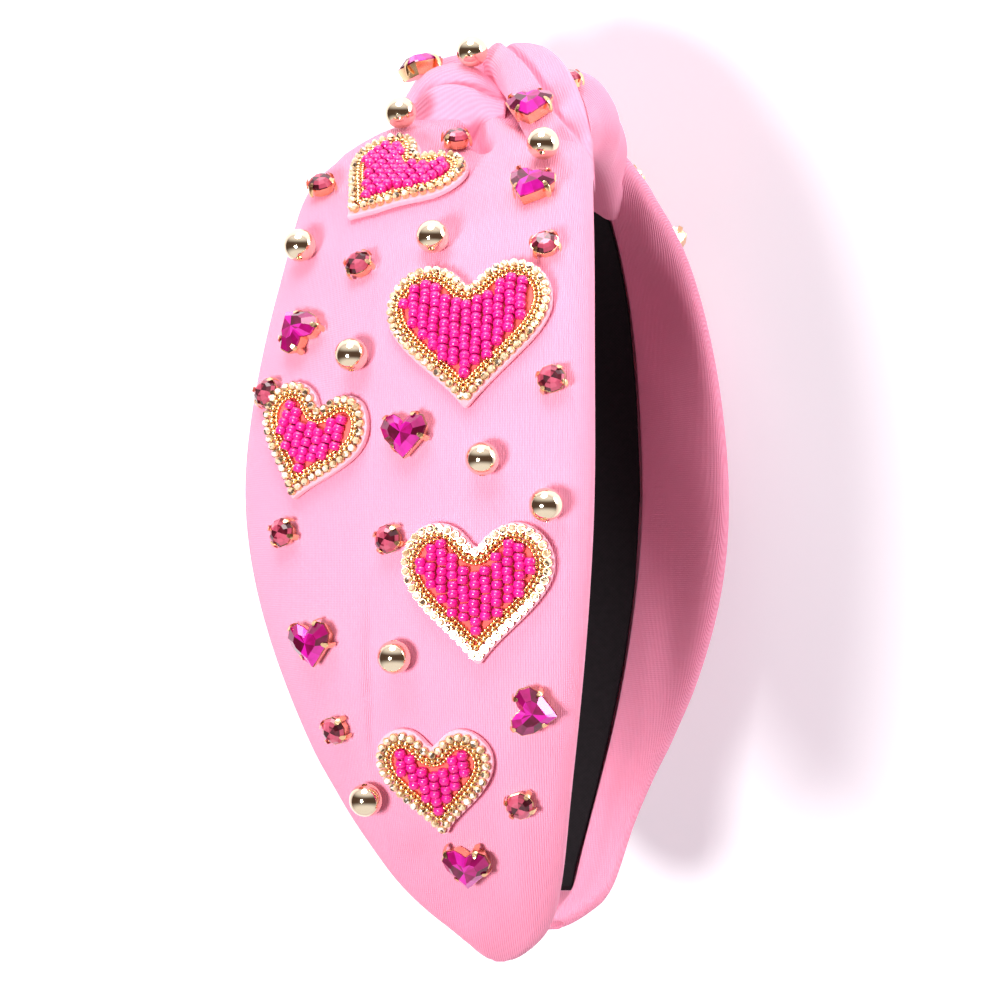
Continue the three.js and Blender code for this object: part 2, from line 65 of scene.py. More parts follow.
arch_height = 0.0
arch_height = -arch(arm_length)[0]
for turned, start in ((0, 0), (arcs[0][1], arcs[0][0] * arcs[0][1]),
                      (arcs[0][1] + arcs[1][1], arcs[0][0] * arcs[0][1] + arcs[1][0] * arcs[1][1])):
    radius = arcs[len(arch_centres)][0]
    y, z, angle = arch(start)
    arch_centres.append((y - radius * cos(angle), z - radius * sin(angle), radius, turned, start))


def on_arch(s, x, v):
    """Point at length s from the crown, near arm positive, x across and v out from the arch."""
    y, z, angle = arch(s)
    side = -1 if s < 0 else 1
    return lying @ Vector((x, y + v * cos(angle), side * (z + v * sin(angle))))


def out_of_arch(s):
    angle = arch(s)[2]
    return lying.to_3x3() @ Vector((0, cos(angle), (-1 if s < 0 else 1) * sin(angle)))


def unrolled(point):
    """The length, place across and height over the arch of a point of the headband."""
    p = standing @ point
    side = -1 if p.z < 0 else 1
    for y, z, radius, turned, start in reversed(arch_centres):
        angle = atan2(side * p.z - z, p.y - y)
        if angle >= turned or start == 0:
            break
    return side * (start + radius * (angle - turned)), p.x, hypot(side * p.z - z, p.y - y) - radius


def only(piece):
    """The piece, alone selected and active."""
    bpy.ops.object.select_all(action="DESELECT")
    piece.select_set(True)
    bpy.context.view_layer.objects.active = piece
    return piece


def applied(piece, kind, **settings):
    """The piece with one modifier of that kind added and applied."""
    only(piece)
    bpy.ops.object.modifier_add(type=kind)
    modifier = piece.modifiers[-1]
    for name, value in settings.items():
        setattr(modifier, name, value)
    bpy.ops.object.modifier_apply(modifier=modifier.name)
    return piece


def cloth_grid(name, across, along, place):
    """A fine grid of cloth laid by place, which gives a point and a UV for each share across and along."""
    bpy.ops.mesh.primitive_grid_add(x_subdivisions=across, y_subdivisions=along, size=1)
    piece = bpy.context.active_object
    piece.name = piece.data.name = name
    laid = [place(v.co.x + 0.5, v.co.y + 0.5) for v in piece.data.vertices]
    for vertex, (point, _) in zip(piece.data.vertices, laid):
        vertex.co = point
    uv = piece.data.uv_layers.active.data
    for loop in piece.data.loops:
        uv[loop.index].uv = laid[loop.vertex_index][1]
    return piece


def finish(name):
    """A new node material, with what is needed to wire it."""
    material = bpy.data.materials.new(name)
    material.use_nodes = True
    nodes, links = material.node_tree.nodes, material.node_tree.links

    def node(kind, **settings):
        made = nodes.new("ShaderNode" + kind)
        for key, value in settings.items():
            if hasattr(made, key):
                setattr(made, key, value)
            else:
                made.inputs[key.replace("_", " ")].default_value = value
        return made

    def sum_of(operation, *terms):
        made = node("Math", operation=operation)
        for socket, term in zip(made.inputs, terms):
            if isinstance(term, (int, float)):
                socket.default_value = term
            else:
                links.new(term, socket)
        return made.outputs[0]

    def mix(amount, first, second, blend="MIX"):
        made = node("Mix", data_type="RGBA", blend_type=blend)
        for socket, term in ((made.inputs[0], amount), (made.inputs[6], first), (made.inputs[7], second)):
            if isinstance(term, (int, float, tuple)):
                socket.default_value = term
            else:
                links.new(term, socket)
        return made.outputs[2]

    return material, nodes["Principled BSDF"], node, links.new, sum_of, mix


band_half_width = 16.4 * mm
# share of an arm's length, and the band's width there as a share of the widest
band_shares = [
    (0, 0.74), (0.1, 0.74), (0.14, 0.75), (0.19, 0.8), (0.25, 0.87), (0.32, 0.94), (0.42, 0.985), (0.52, 1),
    (0.62, 0.92), (0.7, 0.79), (0.77, 0.64), (0.84, 0.48), (0.89, 0.36), (0.93, 0.27), (0.96, 0.24), (1, 0.2)]


def along_table(table, share):
    """A value between the rows of a table."""
    for (a, low), (b, high) in zip(table, table[1:]):
        if share <= b:
            t = max(0.0, (share - a) / (b - a))
            return low + (high - low) * t
    return table[-1][1]


def lining_place(across, along):
    s = (2 * along - 1) * (arm_length - 2.2 * mm)
    half = band_half_width * along_table(band_shares, abs(s) / sleeve_length)
    x = (2 * across - 1) * half
    return on_arch(s, x, 0), (x / mm, s / mm)


lining = cloth_grid("lining_band", 16, 220, lining_place)
applied(lining, "SOLIDIFY", thickness=2 * mm, offset=0)
applied(lining, "BEVEL", width=0.5 * mm, segments=2, limit_method="ANGLE", angle_limit=radians(60))
bpy.ops.object.shade_smooth_by_angle(angle=radians(40))
woven_black, shader, node, link, sum_of, mix = finish("black_woven_lining")
uv = node("TexCoord").outputs["UV"]
threads = node("SeparateXYZ")
link(uv, threads.inputs[0])
warp = sum_of("SINE", sum_of("MULTIPLY", threads.outputs[0], 2 * pi / 0.7))
weft = sum_of("SINE", sum_of("MULTIPLY", threads.outputs[1], 2 * pi / 0.7))
weave = sum_of("MULTIPLY", warp, weft)
lint = node("TexNoise", Scale=900.0, Detail=3.0)
link(node("TexCoord").outputs["Object"], lint.inputs["Vector"])
shade = sum_of("ADD", sum_of("MULTIPLY", weave, 0.25), lint.outputs["Fac"])
link(mix(shade, (0.002, 0.0015, 0.002, 1), (0.011, 0.008, 0.01, 1)), shader.inputs["Base Color"])
bump = node("Bump", Strength=0.5, Distance=0.1 * mm)
link(shade, bump.inputs["Height"])
link(bump.outputs[0], shader.inputs["Normal"])
shader.inputs["Roughness"].default_value = 0.9
shader.inputs["Specular IOR Level"].default_value = 0.2
lining.data.materials.append(woven_black)
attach(lining, "root")
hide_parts("inner_band")

# Each arm is covered by a tube of fine ribbed knit, drawn over the band and padded towards its loose edge.
# The ribs run along the arm, and the knit is gathered where it goes into the knot.
rib_pitch = 0.36
sleeves = {}
ribbed_pink, shader, node, link, sum_of, mix = finish("ribbed_pink_knit")
uv = node("TexCoord").outputs["UV"]
split = node("SeparateXYZ")
link(uv, split.inputs[0])
body = node("TexCoord").outputs["Object"]
waver = node("TexNoise", Scale=90.0, Detail=2.0)
link(body, waver.inputs["Vector"])
wander = sum_of("MULTIPLY", sum_of("SUBTRACT", waver.outputs["Fac"], 0.5), 0.2)
wale = sum_of("SINE", sum_of("MULTIPLY", sum_of("ADD", split.outputs[0], wander), 2 * pi / rib_pitch))
course = sum_of("SINE", sum_of("MULTIPLY", split.outputs[1], 2 * pi / 0.42))
ridge = sum_of("ADD", sum_of("MULTIPLY", wale, 0.5), sum_of("MULTIPLY", course, 0.12))
fuzz = node("TexNoise", Scale=2600.0, Detail=3.0)
link(body, fuzz.inputs["Vector"])
broad = node("TexNoise", Scale=38.0, Detail=2.0)
link(body, broad.inputs["Vector"])
relief = sum_of("ADD", ridge, sum_of("MULTIPLY", fuzz.outputs["Fac"], 0.5))
# painted shade: the knit is coloured darker in the grooves between its ribs and lighter on their ridges,
# following the bump, with random fuzz and broad tone mixed in
painted_rib_shade = sum_of("ADD", sum_of("MULTIPLY", relief, 0.5), 0.35)
tint = mix(painted_rib_shade, (0.85, 0.25, 0.39, 1), (0.91, 0.375, 0.54, 1))
tint = mix(sum_of("MULTIPLY", broad.outputs["Fac"], 0.3), tint, (0.89, 0.32, 0.47, 1))
link(tint, shader.inputs["Base Color"])
bump = node("Bump", Strength=0.8, Distance=0.11 * mm)
link(relief, bump.inputs["Height"])
link(bump.outputs[0], shader.inputs["Normal"])
shader.inputs["Roughness"].default_value = 0.72
shader.inputs["Sheen Weight"].default_value = 0.15
shader.inputs["Sheen Roughness"].default_value = 0.5
shader.inputs["Sheen Tint"].default_value = (1, 0.8, 0.9, 1)
shader.inputs["Subsurface Weight"].default_value = 0.12
shader.inputs["Subsurface Radius"].default_value = (1, 0.35, 0.45)
shader.inputs["Subsurface Scale"].default_value = 1.2 * mm


def soft_copy(node_name, name, levels):
    """A smooth copy of a plain cloth piece, in quads."""
    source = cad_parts[node_name]
    piece = bpy.data.objects.new(name, source.data.copy())
    bpy.context.collection.objects.link(piece)
    piece.data.materials.clear()
    only(piece)
    bpy.ops.object.mode_set(mode="EDIT")
    bpy.ops.mesh.select_all(action="SELECT")
    bpy.ops.mesh.remove_doubles(threshold=1e-6)
    bpy.ops.mesh.tris_convert_to_quads(face_threshold=radians(60), shape_threshold=radians(60))
    bpy.ops.object.mode_set(mode="OBJECT")
    return applied(piece, "SUBSURF", levels=levels, render_levels=levels)


def smooth(value, low, high):
    """From 0 below low to 1 above high, with soft ends."""
    t = min(1.0, max(0.0, (value - low) / (high - low)))
    return t * t * (3 - 2 * t)


# folds pushed into the knit, in mm: from and to as (length, across), width, and height of the push
folds = {
    "near": [
        ((22, 6.8), (35, 1), 1.5, -5), ((24, 2), (37, -4), 2.6, 2), ((25, 21), (24, 11), 2.6, 1.1),
        ((28, 11), (44, 13.5), 1.4, -0.5), ((27, 15), (46, 20), 1.8, -0.5), ((28, 7.5), (42, 6.5), 1.3, -0.4),
        ((26, -3), (60, -12.5), 2.2, -0.3), ((27, 22), (50, 33), 2.4, -0.6), ((168, 12), (184, 3), 4, -0.9),
        ((160, -6), (182, -5), 3, 0.5)],
    "far": [
        ((24, -4), (46, -9), 2.2, -0.8), ((25, 3), (44, 4), 1.8, -0.6), ((24, 9), (50, 17), 2.2, -0.7),
        ((26, 14), (58, 27), 2.6, -0.6)]}
sleeve_reach = {"near": 44.6 * mm, "far": 35.7 * mm}
for arm, side in (("near", 1), ("far", -1)):
    reach = sleeve_reach[arm]
    sleeve = soft_copy(f"cover_{arm}", f"knit_sleeve_{arm}", 3)
    applied(sleeve, "SMOOTH", factor=0.5, iterations=12)
    lay = []
    for vertex in sleeve.data.vertices:
        s, x, v = unrolled(vertex.co)
        s, w = side * s, -side * x
        lay.append((w / mm * (1 - v / reach), s / mm))
        push = 0.0
        if v > 2 * mm:
            here = Vector((s, w)) / mm
            for start, end, width, height in folds[arm]:
                start, way = Vector(start), Vector(end) - Vector(start)
                share = min(1.0, max(0.0, (here - start).dot(way) / way.length_squared))
                aside = (here - start - way * share).length
                push += height * exp(-(aside / width) ** 2) * (1 - smooth(share, 0.55, 1.0))
            push += 0.25 * sin(w / mm * 0.16 + s / mm * 0.055 + side)
        elif w > 0:
            push += 0.8 * sin(s / mm * 0.085 + w / mm * 0.12) * smooth(w / mm, 17, 23)
        vertex.co += push * mm * out_of_arch(side * s)
    layer = sleeve.data.uv_layers.active or sleeve.data.uv_layers.new(name="knit")
    for loop in sleeve.data.loops:
        layer.data[loop.index].uv = lay[loop.vertex_index]
    sleeve.data.materials.append(ribbed_pink)
    only(sleeve)
    bpy.ops.object.shade_smooth()
    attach(sleeve, "root")
    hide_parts(f"cover_{arm}")
    sleeves[arm] = sleeve

# At the crown the two sleeves are drawn into necks and twisted round each other into a knot.
# A folded strap leans over the top, and a pleated loop comes round on either side and goes beneath the band.
necks = {1: 17.2156 * mm, -1: 14.49 * mm}
over_neck, under_neck = 8.348 * mm, -1.35 * mm
knots = []


def eased(table, t):
    """A value of a table of equal steps, on a smooth curve."""
    x = min(max(t, 0.0), 1.0) * (len(table) - 1)
    i = min(int(x), len(table) - 2)
    a, b, c, d = (table[min(max(k, 0), len(table) - 1)] for k in (i - 1, i, i + 1, i + 2))
    u = x - i
    return b + 0.5 * u * (c - a + u * (2 * a - 5 * b + 4 * c - d + u * (3 * (b - c) + d - a)))


def sealed(piece):
    """The cloth grid closed round on itself where its edges meet, with its faces out."""
    only(piece)
    bpy.ops.object.mode_set(mode="EDIT")
    bpy.ops.mesh.select_all(action="SELECT")
    bpy.ops.mesh.remove_doubles(threshold=2e-6)
    bpy.ops.mesh.normals_make_consistent(inside=False)
    bpy.ops.object.mode_set(mode="OBJECT")
    bpy.ops.object.shade_smooth()
    return piece


def skin_of(*pieces):
    """The cloth that something lies on, for finding where it touches."""
    points, faces = [], []
    for piece in pieces:
        base = len(points)
        points += [v.co.copy() for v in piece.data.vertices]
        faces += [[base + i for i in face.vertices] for face in piece.data.polygons]
    return BVHTree.FromPolygons(points, faces)


arms = skin_of(*sleeves.values())


def skin_height(s, x):
    """How high the sleeves' skin stands over the arch, in mm."""
    hit = arms.ray_cast(on_arch(s * mm, x * mm, 40 * mm), -out_of_arch(s * mm), 0.04)[0]
    return unrolled(hit)[2] / mm if hit else 0.0


# the strap's rows, at even steps from the crown to its ends
strap_top = [21, 20.5, 19, 16.7, 14, 11.9, 10.4, 9.4, 8.6]
strap_deep = [12, 11.6, 10.4, 8.4, 5.9, 3.8, 2.4, 1.6, 1]
strap_wide = [6.4, 6.5, 6.6, 6.8, 6.8, 6.6, 6, 4.6, 2.4]
strap_reach = 45


def strap_place(around, along):
    r = 2 * along - 1
    s = r * strap_reach
    half, deep, top = (eased(t, abs(r)) for t in (strap_wide, strap_deep, strap_top))
    turn = 2 * pi * around
    c = cos(turn)
    rise = sin(turn)
    up = (1 if rise > 0 else -1) * abs(rise) ** 0.6
    v = top - deep / 2 + deep / 2 * up
    if rise > 0:
        # a crease runs slantwise down each half, and the cloth beyond it lies lower
        for way in (1, -1):
            crease = way * (0.5 * smooth(way * s, 8, 26) + 0.95 * smooth(way * s, 24, 44) - 0.45)
            beyond = (c - crease) * way
            shown = smooth(way * s, -7, 2) * (1 - smooth(way * s, 30, 42)) * min(1, deep / 4)
            v -= shown * (2 * exp(-(beyond / 0.11) ** 2) + 1.1 * smooth(beyond, -0.06, 0.06))
    x = 0.33 * s - 1.4 * exp(-(s / 11) ** 2) + half * c
    sunk = smooth(abs(s), 24, 43)
    if sunk:
        v += sunk * (skin_height(s, x) - 1.3 - v)
    return on_arch(s * mm, x * mm, v * mm), (0.8 * (half * c + 3 * up), s)


strap = sealed(cloth_grid("knot_strap_knit", 128, 150, strap_place))
knots.append((strap, "knot_strap"))

# a loop's rows, at even steps from beneath the strap round its neck to beneath the band
loop_path = {
    "across": [0.02, 0.2, 0.45, 0.74, 0.95, 1.03, 0.96, 0.72, 0.3, -0.1, -0.36, -0.56],
    "height": [1, 1, 1, 0.98, 0.74, 0.42, 0, 0, 0, 0, 0, 0],
    "first": [1, 1, 1, 1.1, 1.2, 1.25, 1, 0, 0, 0, 0, 0],
    "last": [1, 1, 0.95, 0.88, 0.85, 0.86, 0.9, 1.05, 1.2, 1.25, 1.25, 1.25],
    "thick": [0.25, 0.5, 0.95, 1, 0.8, 0.7, 0.6, 0.48, 0.44, 0.44, 0.42, 0.25]}
# the far loop is drawn further along its arm
drawn = {
    "first": [1, 1, 1, 1.3, 1.8, 2, 1.7, 0, 0, 0, 0, 0],
    "last": [1, 1, 0.95, 1.05, 1.35, 1.5, 1.5, 1.35, 1.2, 1.25, 1.25, 1.25]}
# each pleat's start and end as shares across its loop, and its height
pleats = {
    1: [(0, 0.4, 1.6), (0.4, 0.74, 1.2), (0.74, 1, 0.75)],
    -1: [(0, 0.44, 1.3), (0.44, 0.72, 1.2), (0.72, 1, 0.85)]}
loop_thick = {1: 6 * mm, -1: 4.8 * mm}


def loop_rim(side, t):
    return (necks[side] * eased(loop_path["across"], t),
            under_neck + (over_neck - under_neck) * eased(loop_path["height"], t))


def loop_place(side):
    def place(around, along):
        w, v = loop_rim(side, along)
        (wa, va), (wb, vb) = loop_rim(side, along - 0.01), loop_rim(side, along + 0.01)
        length = hypot(wb - wa, vb - va) or 1
        nw, nv = -(vb - va) / length, (wb - wa) / length
        first, last = (eased((loop_path if side > 0 else drawn)[end], along) for end in ("first", "last"))
        first, last = 0.2 * mm - 7 * mm * first, 23 * mm * last
        outer = around < 0.8
        p = around / 0.8 if outer else (1 - around) / 0.2
        deep = 0.0
        if outer and 0 < along < 1:
            start, end, tall = next(row for row in pleats[side] if row[0] <= p <= row[1])
            q = ((p - start) / (end - start)) ** 1.25
            full = min(1, max(0, eased(loop_path["height"], along) * 1.4))
            hump = tall * (0.25 + 0.75 * max(0, sin(pi * q)) ** 0.4)
            rounded = min(1, sin(pi * p) ** 0.5 + 0.25) if 0 < p < 1 else 0.25
            share = full * hump + (1 - full) * 0.9
            deep = loop_thick[side] * eased(loop_path["thick"], along) * share * rounded
        s = first + (last - first) * p
        x, v = -side * (w + nw * deep), v + nv * deep
        if side < 0:
            v -= 0.8 * mm * smooth(along, 0.15, 0.4) * (1 - smooth(along, 0.45, 0.6))
            x -= 1.9 * mm * smooth(-s / mm, 0, 8) * smooth(x / mm, 8, 13)
        if v > 3 * mm and p > 0.84 and eased(loop_path["height"], along) > 0.5:
            tucked = smooth(p, 0.84, 0.99)
            over_skin = 1 - 2 * tucked if outer else -1.2
            v += tucked * ((skin_height(side * s / mm, x / mm) + over_skin) * mm - v)
        return on_arch(side * s, x, v), (0.8 * s / mm, along * 70)
    return place


for arm, side in (("near", 1), ("far", -1)):
    pleated = sealed(cloth_grid(f"knot_pleats_{arm}", 110, 96, loop_place(side)))
    knots.append((pleated, f"knot_loop_{arm}"))

for piece, stands_for in knots:
    piece.data.materials.append(ribbed_pink)
    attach(piece, "root")
    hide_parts(stands_for)

# Heart patches are sewn on: pale pink felt, edged with a chain of clear stones in gold cups, then with a row
# of gold beads and a finer one inside it, and filled with fuchsia seed beads in columns.
heart_steps = 72


def heart(t):
    """Heart outline of width 1, tip down, round its middle."""
    rise = sum(size * cos((i + 1) * t) for i, size in enumerate((0.427, -0.131, -0.053, -0.026)))
    return Vector((0.125 * sin(t) + 0.375 * sin(t) ** 3, 0.081 + rise))


cloth = skin_of(*sleeves.values(), *(piece for piece, _ in knots))


class Spot:
    """A place on the cloth with its own right, up and out, square to the cloth, or to the arch at level 1."""

    def __init__(self, side, along, across, turn, foot, level=0):
        s, x = side * along * mm, -side * across * mm
        self.out = out_of_arch(s)
        ahead = (on_arch(s - side * mm, x, 0.06) - on_arch(s + side * mm, x, 0.06)).normalized()
        self.up, self.right = ahead, ahead.cross(self.out)
        self.middle = on_arch(s, x, 0)
        seat = self.touch(0, 0)
        reach = [self.touch(a * foot * mm, b * foot * mm) for a, b in ((1, 0), (-1, 0), (0, 1), (0, -1))]
        slope = (reach[0] - reach[1]).cross(reach[2] - reach[3]).normalized()
        self.out = slope.lerp(self.out, level).normalized()
        self.up = (ahead - self.out * ahead.dot(self.out)).normalized()
        self.right = self.up.cross(self.out)
        self.middle = seat
        turned = Matrix.Rotation(radians(-turn), 3, self.out)
        self.up, self.right = turned @ self.up, turned @ self.right

    def touch(self, a, b):
        """The cloth under a point of the flat work."""
        start = self.middle + self.right * a + self.up * b + self.out * 0.04
        hit = cloth.ray_cast(start, -self.out, 0.09)[0]
        return hit if hit else start - self.out * 0.04

    def lay(self, a, b, height):
        """Where flat work at a, b stands, so high over the cloth, with the cloth's slope there."""
        d = 1.2 * mm
        east, west, north, south = (self.touch(a + i, b + j) for i, j in ((d, 0), (-d, 0), (0, d), (0, -d)))
        ground = (east + west + north + south) / 4
        out = (east - west).cross(north - south).normalized()
        out = (out + self.out).normalized()
        return ground + out * height, out

    def frame_at(self, a, b, height, spin=0.0):
        point, out = self.lay(a, b, height)
        up = (self.up - out * self.up.dot(out)).normalized()
        right = up.cross(out)
        matrix = Matrix((right, up, out)).transposed().to_4x4()
        matrix.translation = point
        return matrix @ Matrix.Rotation(spin, 4, "Z")


def sewn(name, unit, places):
    """One piece of many copies of a unit, set at these places."""
    built = bmesh.new()
    for place in places:
        copy = unit.data.copy()
        copy.transform(place)
        built.from_mesh(copy)
        bpy.data.meshes.remove(copy)
    mesh = bpy.data.meshes.new(name)
    built.to_mesh(mesh)
    built.free()
    for material in unit.data.materials:
        mesh.materials.append(material)
    piece = bpy.data.objects.new(name, mesh)
    bpy.context.collection.objects.link(piece)
    return piece


def outline_inset(width, inset):
    """Points of a heart's outline moved inwards, without the parts that would cross."""
    count = 480
    edge = [heart(2 * pi * (k + 0.5) / count) * width for k in range(count)]
    moved = []
    for k, point in enumerate(edge):
        step = (edge[(k + 1) % count] - edge[k - 1]).normalized()
        inside = point + Vector((step.y, -step.x)) * inset
        if all((inside - other).length > inset * 0.97 for other in edge[::3]):
            moved.append(inside)
    return moved


def spaced(points, pitch):
    """Points at even steps round a closed line, with the way that the line runs at each."""
    loop = points + points[:1]
    lengths = [0.0]
    for a, b in zip(loop, loop[1:]):
        lengths.append(lengths[-1] + (b - a).length)
    count = max(3, round(lengths[-1] / pitch))
    out, i = [], 0
    for k in range(count):
        target = lengths[-1] * k / count
        while lengths[i + 1] < target:
            i += 1
        t = (target - lengths[i]) / max(lengths[i + 1] - lengths[i], 1e-9)
        step = loop[i + 1] - loop[i]
        out.append((loop[i].lerp(loop[i + 1], t), atan2(step.y, step.x)))
    return out


pale_felt, shader, node, link, sum_of, mix = finish("pale_pink_felt")
body = node("TexCoord").outputs["Object"]
hairs = node("TexNoise", Scale=1500.0, Detail=5.0, Roughness=0.7)
link(body, hairs.inputs["Vector"])
inside = node("MapRange", interpolation_type="SMOOTHSTEP", From_Min=1.9, From_Max=2.5)
link(node("Attribute", attribute_name="inset").outputs["Fac"], inside.inputs["Value"])
# the felt is coral inside its edge, which shows beside the seed beads
pale = mix(hairs.outputs["Fac"], (0.84, 0.34, 0.44, 1), (0.95, 0.5, 0.6, 1))
link(mix(inside.outputs["Result"], pale, (0.88, 0.13, 0.11, 1)), shader.inputs["Base Color"])
bump = node("Bump", Strength=0.6, Distance=0.15 * mm)
link(hairs.outputs["Fac"], bump.inputs["Height"])
link(bump.outputs[0], shader.inputs["Normal"])
shader.inputs["Roughness"].default_value = 0.95
shader.inputs["Sheen Weight"].default_value = 0.4

bright_gold, shader, node, link, sum_of, mix = finish("bright_gold_beads")
body = node("TexCoord").outputs["Object"]
wear = node("TexNoise", Scale=700.0, Detail=2.0)
link(body, wear.inputs["Vector"])
link(mix(wear.outputs["Fac"], (0.85, 0.5, 0.19, 1), (0.98, 0.76, 0.42, 1)), shader.inputs["Base Color"])
link(sum_of("ADD", sum_of("MULTIPLY", wear.outputs["Fac"], 0.16), 0.12), shader.inputs["Roughness"])
shader.inputs["Metallic"].default_value = 1.0

clear_stone, shader, node, link, sum_of, mix = finish("clear_chain_stones")
# painted glints: the clear stones are coloured in small cells of dark brown, gold and near white, as painted
# sparkle and reflection
glint_cells = node("TexVoronoi", Scale=1300.0)
link(node("TexCoord").outputs["Object"], glint_cells.inputs["Vector"])
glint_pick = node("SeparateColor")
link(glint_cells.outputs["Color"], glint_pick.inputs[0])
ramp = node("ValToRGB")
ramp.color_ramp.interpolation = "CONSTANT"
painted_glints = ((0.16, (0.78, 0.62, 0.4, 1)), (0.6, (0.5, 0.34, 0.17, 1)), (0.74, (1, 0.96, 0.88, 1)))
for position, colour in painted_glints:
    ramp.color_ramp.elements.new(position).color = colour
ramp.color_ramp.elements[0].color = (0.1, 0.07, 0.04, 1)
ramp.color_ramp.elements[-1].color = (0.86, 0.72, 0.5, 1)
link(glint_pick.outputs[0], ramp.inputs[0])
link(ramp.outputs[0], shader.inputs["Base Color"])
shader.inputs["Metallic"].default_value = 0.2
shader.inputs["Roughness"].default_value = 0.08
shader.inputs["Coat Weight"].default_value = 1.0
shader.inputs["Coat Roughness"].default_value = 0.02

fuchsia_seed, shader, node, link, sum_of, mix = finish("fuchsia_seed_beads")
body = node("TexCoord").outputs["Object"]
lots = node("TexNoise", Scale=420.0, Detail=1.0)
link(body, lots.inputs["Vector"])
link(mix(lots.outputs["Fac"], (0.64, 0.004, 0.19, 1), (0.84, 0.012, 0.3, 1)), shader.inputs["Base Color"])
link(sum_of("ADD", sum_of("MULTIPLY", lots.outputs["Fac"], 0.12), 0.2), shader.inputs["Roughness"])
shader.inputs["Coat Weight"].default_value = 0.5
shader.inputs["Coat Roughness"].default_value = 0.12
shader.inputs["Subsurface Weight"].default_value = 0.25
shader.inputs["Subsurface Radius"].default_value = (1, 0.2, 0.5)
shader.inputs["Subsurface Scale"].default_value = 0.5 * mm


def unit_of(name, *materials):
    """The primitive just added, named and kept out of the picture as a unit for copies."""
    piece = bpy.context.active_object
    piece.name = piece.data.name = name
    for material in materials:
        piece.data.materials.append(material)
    return piece


# seed bead: a short tube with round ends and a hole, its hole along Y
bpy.ops.mesh.primitive_torus_add(
    major_radius=0.63 * mm, minor_radius=0.43 * mm, major_segments=10, minor_segments=6,
    rotation=(pi / 2, 0, 0))
seed = unit_of("seed_unit", fuchsia_seed)
bpy.ops.object.transform_apply(location=False, rotation=True, scale=False)
seed.data.transform(Matrix.Scale(1.9, 4, (0, 1, 0)))
bpy.ops.object.shade_smooth()

# gold bead of the row: small and round
bpy.ops.mesh.primitive_uv_sphere_add(segments=8, ring_count=6, radius=0.62 * mm)
gold_bead = unit_of("gold_bead_unit", bright_gold)
bpy.ops.object.shade_smooth()

# one link of the stone chain: a gold cup with a cut stone in it
bpy.ops.mesh.primitive_cone_add(
    vertices=8, radius1=0.6 * mm, radius2=0.78 * mm, depth=0.9 * mm, location=(0, 0, 0.45 * mm))
cup = unit_of("cup_unit", bright_gold, clear_stone)
bpy.ops.object.transform_apply(location=True, rotation=True, scale=True)
bpy.ops.object.mode_set(mode="EDIT")
edit = bmesh.from_edit_mesh(cup.data)
for face in edit.faces:
    face.select_set(face.normal.z > 0.9)
bmesh.update_edit_mesh(cup.data)
bpy.ops.mesh.inset(thickness=0.14 * mm, depth=0)
bpy.ops.mesh.extrude_region_move(TRANSFORM_OT_translate={"value": (0, 0, 0.28 * mm)})
bpy.ops.transform.resize(value=(0.98, 0.98, 1), center_override=(0, 0, 1.1 * mm))
bpy.ops.mesh.extrude_region_move(TRANSFORM_OT_translate={"value": (0, 0, 0.34 * mm)})
bpy.ops.transform.resize(value=(0.55, 0.55, 1), center_override=(0, 0, 1.5 * mm))
bpy.ops.object.mode_set(mode="OBJECT")
for face in cup.data.polygons:
    face.material_index = 1 if face.center.z > 0.95 * mm and Vector(face.center[:2]).length < 0.9 * mm else 0

patches = {"crown": 0, "large": 1, "side": 2, "middle": 3, "tip": 4}
# each patch's place along and across its arm and its width, in mm, and its turn in degrees
patch_rows = {
    "near": [
        (41.5, 18.6, 25, 40), (77, 1.9, 30, 0), (93.5, 30.4, 22.5, 18), (120, -0.2, 27, 0),
        (152, 8, 21.5, -4)],
    "far": [(39, 11.5, 24, 30), (113, 2, 30, 0), (76, -10, 19, -14), (141, 2, 24, 8), (165, 3, 18, 0)]}
felt_thick = 1.1 * mm
chain_inset, chain_pitch = 0.95 * mm, 1.56 * mm
